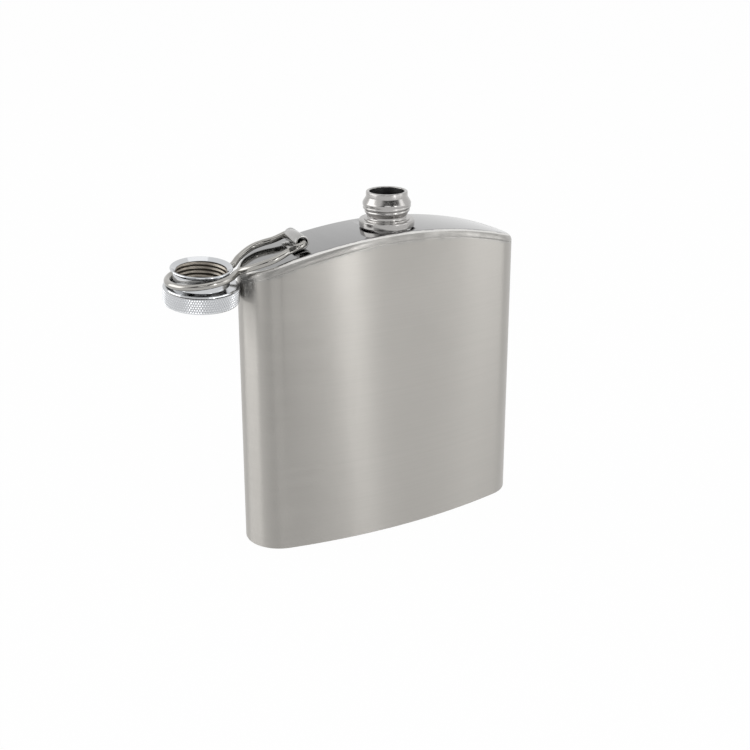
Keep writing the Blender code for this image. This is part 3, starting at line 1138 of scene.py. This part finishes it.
@dataclass(frozen=True)
class Bail:
    """The one wire: pins in the barrel, eyelet arms, a waist, and the ring round the cap."""

    hinge: Hinge = Hinge()
    spout: Spout = Spout()
    wire: float = 1.0 * MM
    pin_gap: float = 2.4 * MM
    pin_bend: float = 1.4 * MM
    arm_spread: float = 7.0 * MM
    eyelet_spread: float = 8.5 * MM
    eyelet_reach: float = 10.5 * MM
    eyelet_start: float = 0.45
    eyelet_crown: float = 0.5 * MM
    eyelet_sag: float = 1.6
    eyelet_closing: float = 1.5
    waist_spread: float = 3.4 * MM
    waist_standoff: float = 0.2 * MM
    home_height: float = 6.9 * MM
    ring_radius: float = 9.75 * MM
    ring_slope: float = math.radians(5.5)
    ring_steps: int = 24
    span_steps: int = 7
    sides: int = 28
    sharp_angle: float = 40.0
    flat: float = 0.66
    flat_span: Pair = (1.9 * MM, 5.4 * MM)
    flat_tilt: Pair = (0.8, 0.6)

    @property
    def waist_reach(self) -> float:
        """The waist's distance from the hinge."""
        return self.hinge.setback - self.ring_radius - self.waist_standoff

    @property
    def ring_centre(self) -> Vector:
        """Middle of the ring, where it comes down on the thread's crest when swung across.

        Returns:
            Its place, before the hinge's turn.
        """
        axis = self.hinge.axis
        home = self.spout.section.top(0) + self.spout.seat + self.home_height
        return Vector((axis.x - self.hinge.setback, axis.y, 2 * axis.z - home))

    def arm(self) -> list[Vector]:
        """One arm from its end in the barrel to the ring.

        Returns:
            Points (reach from the hinge, spread, rise).
        """
        fall = self.ring_centre.z - self.hinge.axis.z
        waist_rise = fall + (self.hinge.setback - self.waist_reach) * math.tan(self.ring_slope)

        def rise(reach: float) -> float:
            """Height over the hinge.

            Args:
                reach: Distance from the hinge.

            Returns:
                The height there.
            """
            share = reach / self.waist_reach
            crown = math.sin(math.pi * share**self.eyelet_sag)
            return waist_rise * share + self.eyelet_crown * crown

        pin_start, pin_end = self.pin_gap / 2, self.arm_spread - self.pin_bend
        points = [Vector((0, spread, 0)) for spread in (pin_start, (pin_start + pin_end) / 2)]
        for angle in (0, 30, 60, 90):
            turn = math.radians(angle)
            reach = self.pin_bend * (1 - math.cos(turn))
            points.append(Vector((reach, pin_end + self.pin_bend * math.sin(turn), rise(reach))))
        opened = self.eyelet_spread - self.arm_spread
        for opening in (0, 1 / 2, 1):
            reach = self.eyelet_reach * (self.eyelet_start + (1 - self.eyelet_start) * opening)
            spread = self.arm_spread + opened * math.sin(math.pi / 2 * opening)
            points.append(Vector((reach, spread, rise(reach))))
        closed = self.waist_spread - self.eyelet_spread
        for closing in (1 / 3, 2 / 3, 1):
            reach = self.eyelet_reach + (self.waist_reach - self.eyelet_reach) * closing
            spread = self.eyelet_spread + closed * closing**self.eyelet_closing
            points.append(Vector((reach, spread, rise(reach))))
        return points

    def ring(self) -> list[Vector]:
        """The ring, from where one arm meets it round to the other.

        Returns:
            Points (reach from the hinge, spread, rise).
        """
        to_waist = self.hinge.setback - self.waist_reach
        distance = math.hypot(to_waist, self.waist_spread)
        tangent = math.acos(min(1, self.ring_radius / distance))
        meets = math.atan2(self.waist_spread, to_waist) + tangent
        fall = self.ring_centre.z - self.hinge.axis.z
        points = []
        for step in range(self.ring_steps + 1):
            turn = meets + (math.tau - 2 * meets) * step / self.ring_steps
            out = self.ring_radius * math.cos(turn)
            reach = self.hinge.setback - out * math.cos(self.ring_slope)
            rise = fall + out * math.sin(self.ring_slope)
            points.append(Vector((reach, self.ring_radius * math.sin(turn), rise)))
        return points

    def path(self) -> list[Vector]:
        """The wire's middle line, as a smooth curve through its points.

        Returns:
            The places along it, in the frame.
        """
        arm = self.arm()
        other = [Vector((point.x, -point.y, point.z)) for point in reversed(arm)]
        points = arm + self.ring() + other
        ends = [2 * points[0] - points[1], *points, 2 * points[-1] - points[-2]]
        curve = []
        for before, here, after, beyond in zip(ends, ends[1:], ends[2:], ends[3:]):
            for step in range(self.span_steps):
                t = step / self.span_steps
                bend = (2 * before - 5 * here + 4 * after - beyond) * t**2
                twist = (3 * here - before - 3 * after + beyond) * t**3
                curve.append(0.5 * (2 * here + (after - before) * t + bend + twist))
        curve.append(points[-1])
        axis = self.hinge.axis
        return [self.hinge.turn @ (axis + Vector((-at.x, -at.y, at.z))) for at in curve]

    def build(self, finishes: Finishes) -> None:
        """Draws the wire out along its path, with tool flats pressed on the arms.

        Each vertex keeps its place round the wire and along it for the drawn finish.

        Args:
            finishes: The flask's finishes.
        """
        path = self.path()
        shape = bmesh.new()
        around = shape.verts.layers.float_vector.new("drawing")
        circle = bmesh.ops.create_circle(
            shape, cap_ends=True, segments=self.sides, radius=self.wire
        )
        verts = circle["verts"]
        offsets = [vert.co.copy() for vert in verts]
        for number, vert in enumerate(verts):
            vert[around] = Vector((vert.co.x / self.wire, vert.co.y / self.wire, number))
        edges = shape.edges[:]
        length, facing_along, stations = 0.0, None, []
        for place, before, after in zip(path, path[:1] + path, path[1:] + path[-1:]):
            along = (after - before).normalized()
            if facing_along is None:
                facing_along = along.to_track_quat("Z", "Y")
            else:
                last = facing_along @ Vector((0, 0, 1))
                facing_along = last.rotation_difference(along) @ facing_along
                verts, edges = extrude(shape, edges)
            length += (place - before).length
            for vert in verts:
                out = facing_along @ offsets[round(vert[around].z)]
                vert.co = place + self.pressed(out, place)
                stations.append(length)
        bmesh.ops.contextual_create(shape, geom=edges)
        for vert, station in zip(shape.verts, stations):
            vert[around] = Vector((vert[around].x, vert[around].y, station))
        close_up(shape)
        wire = as_piece("bail_loop", shape, self.sharp_angle)
        hand_over(wire, Body.BAIL, Slot.WIRE, "bail_wire", finishes.wire)

    def pressed(self, out: Vector, place: Vector) -> Vector:
        """Cuts the wire back to the flats that a tool pressed on the arms by the hinge.

        Args:
            out: From the wire's middle line to its surface.
            place: The place on the middle line.

        Returns:
            The same, cut back where a flat is.
        """
        local = self.hinge.turn.inverted() @ place - self.hinge.axis
        reach, side = -local.x, math.copysign(1, local.y)
        start, end = self.flat_span
        ramp = self.wire / 3
        share = min(1, max(0, (reach - start) / ramp), max(0, (end - reach) / ramp))
        limit = self.wire * (1 - (1 - self.flat) * share)
        outward, upward = self.flat_tilt
        face = self.hinge.turn.to_3x3() @ Vector((0, outward * side, upward))
        for normal in (face, -face):
            over = out.dot(normal) - limit
            if over > 0:
                out = out - normal * over
        return out


@dataclass(frozen=True)
class Cap:
    """The turned cap, mouth up in the ring. Depths are from its rim."""

    bail: Bail = Bail()
    ring_depth: float = 2.8 * MM
    lean_front: float = math.radians(5.0)
    lean_side: float = math.radians(1.5)
    rim_radius: float = 9.0 * MM
    rim_edge: float = 0.3 * MM
    rim_land: float = 0.3 * MM
    collar: float = 1.0 * MM
    mouth: float = 0.9 * MM
    mouth_edge: float = 0.12 * MM
    bore: float = 7.7 * MM
    bore_rows: int = 60
    thread_depth: float = 0.33 * MM
    thread_pitch: float = 1.3 * MM
    thread_run: float = 0.1 * MM
    thread_shape: float = 1.4
    groove_radius: float = 8.15 * MM
    groove: float = 5.1 * MM
    groove_fillet: tuple[Pair, ...] = ((0.25 * MM, 0.02 * MM), (0.05 * MM, 0.1 * MM), (0, 0.3 * MM))
    collar_fillet: tuple[Pair, ...] = ((0, -0.15 * MM), (0.1 * MM, 0))
    shoulder_radius: float = 10.5 * MM
    shoulder_drop: float = 0.5 * MM
    shoulder_edge: float = 0.1 * MM
    land_share: float = 0.55
    land_step: float = 0.12 * MM
    land_edge: float = 0.04 * MM
    line_width: float = 0.08 * MM
    grip_radius: float = 10.99 * MM
    grip_chamfer: float = 0.15 * MM
    chamfer_share: float = 0.6
    grip_round: float = 0.45 * MM
    height: float = 10.4 * MM
    bottom_share: float = 0.35
    cavity: float = 9.1 * MM
    knurl_depth: float = 0.22 * MM
    knurl_flat: float = 1.5
    knurl_across: int = 92
    knurl_tall: int = 6
    knurl_grain: int = 6
    round_steps: int = 6
    rim_steps: int = 5
    mouth_steps: int = 4
    sharp_angle: float = 32.0

    @property
    def place(self) -> Matrix:
        """Where the cap hangs in the ring."""
        lean = Matrix.Rotation(self.lean_side, 4, "Y") @ Matrix.Rotation(self.lean_front, 4, "X")
        return self.bail.hinge.turn @ Matrix.Translation(self.bail.ring_centre) @ lean

    @property
    def grip_span(self) -> Pair:
        """Heights of the knurled band's top and bottom, from the rim."""
        top = -(self.groove + self.shoulder_drop + self.grip_chamfer)
        return top, self.grip_round - self.height

    def profile(self) -> Profile:
        """Half section from the middle of the closed end, up the outside and down the bore.

        Returns:
            Points (radius, height from the rim).
        """
        high, low = self.grip_span
        shelf = high + self.grip_chamfer
        step = shelf + self.shoulder_drop * self.land_share
        land = self.shoulder_radius - self.land_step
        rows = self.knurl_tall * self.knurl_grain
        outer = [(0, -self.height), (self.grip_radius * self.bottom_share, -self.height)]
        corner = (self.grip_radius - self.grip_round, low)
        outer += arc(corner, self.grip_round, -90, 0, self.round_steps)
        outer += line((self.grip_radius, low), (self.grip_radius, high), rows)[1:]
        chamfer = high + self.grip_chamfer * self.chamfer_share
        outer += [
            (self.shoulder_radius + self.shoulder_edge, chamfer),
            (self.shoulder_radius, shelf),
            (land + self.land_edge, step),
            (land - self.line_width, step + self.line_width / 2),
            (land - self.line_width, step + self.line_width * 1.5),
        ]
        for level, fillet in ((self.groove, self.groove_fillet), (self.collar, self.collar_fillet)):
            outer += [(self.groove_radius + out, up - level) for out, up in fillet]
        corner = (self.rim_radius - self.rim_edge, -self.rim_edge)
        outer += arc(corner, self.rim_edge, 0, 90, self.rim_steps)
        rim = self.rim_radius - self.rim_edge - self.rim_land / 2
        mouth = (self.bore - self.thread_depth, -self.mouth)
        inner = line((rim, 0), mouth, self.mouth_steps)
        start = (self.bore, -self.mouth - self.mouth_edge)
        inner += line(start, (self.bore, -self.cavity), self.bore_rows)
        return outer + inner + [(0, -self.cavity)]

    def marks(self, radius: float, angle: float, height: float) -> float:
        """The knurl outside and the thread inside.

        Args:
            radius: Radius of a place on the cap.
            angle: Its angle.
            height: Its height from the rim.

        Returns:
            The step in radius there.
        """
        high, low = self.grip_span
        if abs(radius - self.grip_radius) < TOUCH and low < height < high:
            across = angle / math.tau * self.knurl_across
            up = (height - low) / (high - low) * self.knurl_tall

            def wave(turns: float) -> float:
                """A ridge that peaks at whole turns."""
                return abs((turns % 1.0) - 0.5) * 2

            ridge = min(wave(across + up / 2), wave(across - up / 2))
            return self.knurl_depth * (min(1, ridge * self.knurl_flat) - 1)
        deep = -height - self.mouth
        if abs(radius - self.bore) < TOUCH and deep > self.thread_run:
            turns = deep / self.thread_pitch + angle / math.tau
            fade = min(1, (self.cavity + height) / self.thread_pitch)
            crest = 0.5 + 0.5 * math.cos(math.tau * turns)
            return -self.thread_depth * fade * crest**self.thread_shape
        return 0.0

    def build(self, finishes: Finishes) -> None:
        """Turns the cap, knurls its grip and cuts its thread, and dresses the seal.

        Args:
            finishes: The flask's finishes.
        """
        shape = lathe(self.profile(), self.knurl_across * self.knurl_grain)
        cut_in(shape, self.marks)
        for face in shape.faces:
            middle = face.calc_center_median()
            radius = math.hypot(middle.x, middle.y)
            deep = -self.cavity - TOUCH < middle.z < -self.mouth
            face.material_index = int(deep and radius < self.bore + TOUCH)
        cap = as_piece("screw_cap", shape, self.sharp_angle)
        note_turning(cap)
        cap.data.transform(self.place @ Matrix.Translation((0, 0, self.ring_depth)))
        hand_over(cap, Body.CAP, Slot.CHROME, "cap_body", finishes.chrome, finishes.cut_thread)
        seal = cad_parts["cap_seal"]
        seal.data.materials.clear()
        seal.data.materials.append(finishes.rubber)
        LOG.info("cap_seal: finish in slot %s changed", Slot.RUBBER.value)


# The studio.


@dataclass(frozen=True)
class Softbox:
    """A soft lamp, placed round the flask by bearing and height in degrees."""

    name: str
    bearing: float
    elevation: float
    distance: float
    width: float
    height: float
    radiance: float

    def build(self) -> None:
        """Hangs the lamp, facing the flask."""
        data = bpy.data.lights.new(self.name, "AREA")
        data.shape = "RECTANGLE"
        data.size = self.width
        data.size_y = self.height
        data.energy = self.radiance * math.pi * self.width * self.height
        lamp = bpy.data.objects.new(self.name, data)
        away = facing(self.bearing, self.elevation)
        lamp.location = AIM + away * self.distance
        lamp.rotation_euler = away.to_track_quat("Z", "Y").to_euler()
        lamp.visible_camera = False
        bpy.context.scene.collection.objects.link(lamp)


@dataclass(frozen=True)
class Studio:
    """A plain white floor and backdrop, a dimmer room on the viewer's side, and soft lamps.

    Each lamp's row gives its name, bearing, elevation, distance, width, height and radiance.
    """

    floor_size: float = 24.0
    floor_drop: float = 0.05 * MM
    floor_white: float = 0.88
    floor_glow: float = 0.98
    surround: float = 0.50
    room: float = 0.03
    backdrop_edge: Pair = (-0.55, -0.25)
    room_edge: Pair = (0.06, 0.30)
    lamps: tuple[Softbox, ...] = (
        Softbox("right_panel", 29.0, 14.0, 1.4, 1.56, 1.3, 0.95),
        Softbox("front_strip", 15.4, 14.0, 1.3, 0.13, 1.3, 3.8),
        Softbox("side_strip", 58.0, 14.0, 1.3, 0.50, 1.2, 1.0),
        Softbox("left_panel", -112.0, 14.0, 1.3, 1.25, 1.2, 1.9),
        Softbox("window", -24.0, 35.0, 1.3, 0.60, 0.40, 1.9),
        Softbox("top_panel", 20.0, 75.0, 1.2, 0.9, 0.8, 0.4),
    )

    @staticmethod
    def by_way_of_metal(tree: Tree, path: Node) -> Socket:
        """Whether a ray has come by way of metal or glass."""
        glossy, through = path.outputs["Is Glossy Ray"], path.outputs["Is Transmission Ray"]
        return tree.math("MAXIMUM", glossy, through)

    def build_floor(self) -> None:
        """Lays the floor, white where it is seen and still darkened by the flask's shadow."""
        shape = bmesh.new()
        bmesh.ops.create_grid(shape, x_segments=1, y_segments=1, size=self.floor_size / 2)
        bmesh.ops.translate(shape, verts=shape.verts, vec=(0, 0, -self.floor_drop))
        floor = as_piece("studio_floor", shape)
        made = bpy.data.materials.new("white_floor")
        made.use_nodes = True
        made.node_tree.nodes.clear()
        tree = Tree(made.node_tree)
        plain = tree.add("BsdfDiffuse", {"Color": (self.floor_white,) * 3 + (1,)})
        white = tree.add("Emission", {"Color": WHITE, "Strength": 1.0})
        path = tree.add("LightPath")
        mirrored = self.by_way_of_metal(tree, path)
        seen = tree.math("MAXIMUM", path.outputs["Is Camera Ray"], mirrored)
        share = tree.math("MULTIPLY", seen, self.floor_glow)
        both = tree.add("MixShader", {0: share, 1: plain.outputs[0], 2: white.outputs[0]})
        tree.add("OutputMaterial", {"Surface": both.outputs[0]})
        floor.data.materials.append(made)

    def build_world(self) -> None:
        """Surrounds the flask: white to the camera, and in metal white but for the room."""
        world = bpy.data.worlds.new("plain_studio")
        world.use_nodes = True
        world.node_tree.nodes.clear()
        tree = Tree(world.node_tree)
        path = tree.add("LightPath")
        way = tree.add("SeparateXYZ", {0: tree.add("TexCoord").outputs["Generated"]})
        low = tree.fit(way.outputs["Z"], *self.room_edge, 1.0, 0.0)
        backdrop = tree.fit(way.outputs["Y"], *self.backdrop_edge, self.room, 1.0)
        backdrop = tree.math("MAXIMUM", backdrop, low)
        grey = (self.surround,) * 3 + (1,)
        mirrored = tree.add("CombineColor", {0: backdrop, 1: backdrop, 2: backdrop})
        colour = tree.blend(self.by_way_of_metal(tree, path), grey, mirrored.outputs[0])
        colour = tree.blend(path.outputs["Is Camera Ray"], colour, WHITE)
        light = tree.add("Background", {"Color": colour, "Strength": 1.0})
        tree.add("OutputWorld", {"Surface": light.outputs[0]})
        bpy.context.scene.world = world

    def build(self) -> None:
        """Builds floor, surroundings and lamps, and sets the plain view transform."""
        self.build_floor()
        self.build_world()
        for lamp in self.lamps:
            lamp.build()
        bpy.context.scene.view_settings.view_transform = "Standard"


@dataclass(frozen=True)
class PhotoCamera:
    """The photograph's viewpoint.

    Angles are in degrees, with bearings to the left of the flask's front, distances in metres
    and shifts in pixels.
    """

    bearing: float = 29.437
    elevation: float = 21.029
    distance: float = 0.38635
    aim_bearing: float = 29.122
    tilt: float = 17.930
    roll: float = -0.050
    focal_pixels: float = 1228.27
    shift_right: float = 2.64
    shift_down: float = -75.0
    sensor: float = 36.0
    nearest: float = 0.01
    farthest: float = 60.0

    def build(self) -> None:
        """Sets the camera up."""
        data = bpy.data.cameras.new("photo_camera")
        data.sensor_width = self.sensor
        data.lens = self.focal_pixels * self.sensor / PHOTO_PIXELS
        data.shift_x = -self.shift_right / PHOTO_PIXELS
        data.shift_y = self.shift_down / PHOTO_PIXELS
        data.clip_start = self.nearest
        data.clip_end = self.farthest
        camera = bpy.data.objects.new("photo_camera", data)
        back = facing(-self.aim_bearing, self.tilt)
        turn = math.radians(self.aim_bearing)
        right = Vector((math.cos(turn), -math.sin(turn), 0))
        up = back.cross(right)
        c, s = math.cos(math.radians(self.roll)), math.sin(math.radians(self.roll))
        sideways, upright = right * c - up * s, right * s + up * c
        turned = Matrix((sideways, upright, back)).transposed().to_4x4()
        place = AIM + facing(-self.bearing, self.elevation) * self.distance
        camera.matrix_world = Matrix.Translation(place) @ turned
        bpy.context.scene.collection.objects.link(camera)
        bpy.context.scene.camera = camera


def main() -> None:
    """Builds the camera, the flask's sub-assemblies in order, and the studio."""
    logging.basicConfig(level=logging.INFO, format="%(name)s: %(message)s")
    PhotoCamera().build()
    finishes = Finishes()
    for part in (FlaskBody(), Spout(), Hinge(), Bail(), Cap()):
        part.build(finishes)
    Studio().build()


if __name__ == "__main__":
    main()
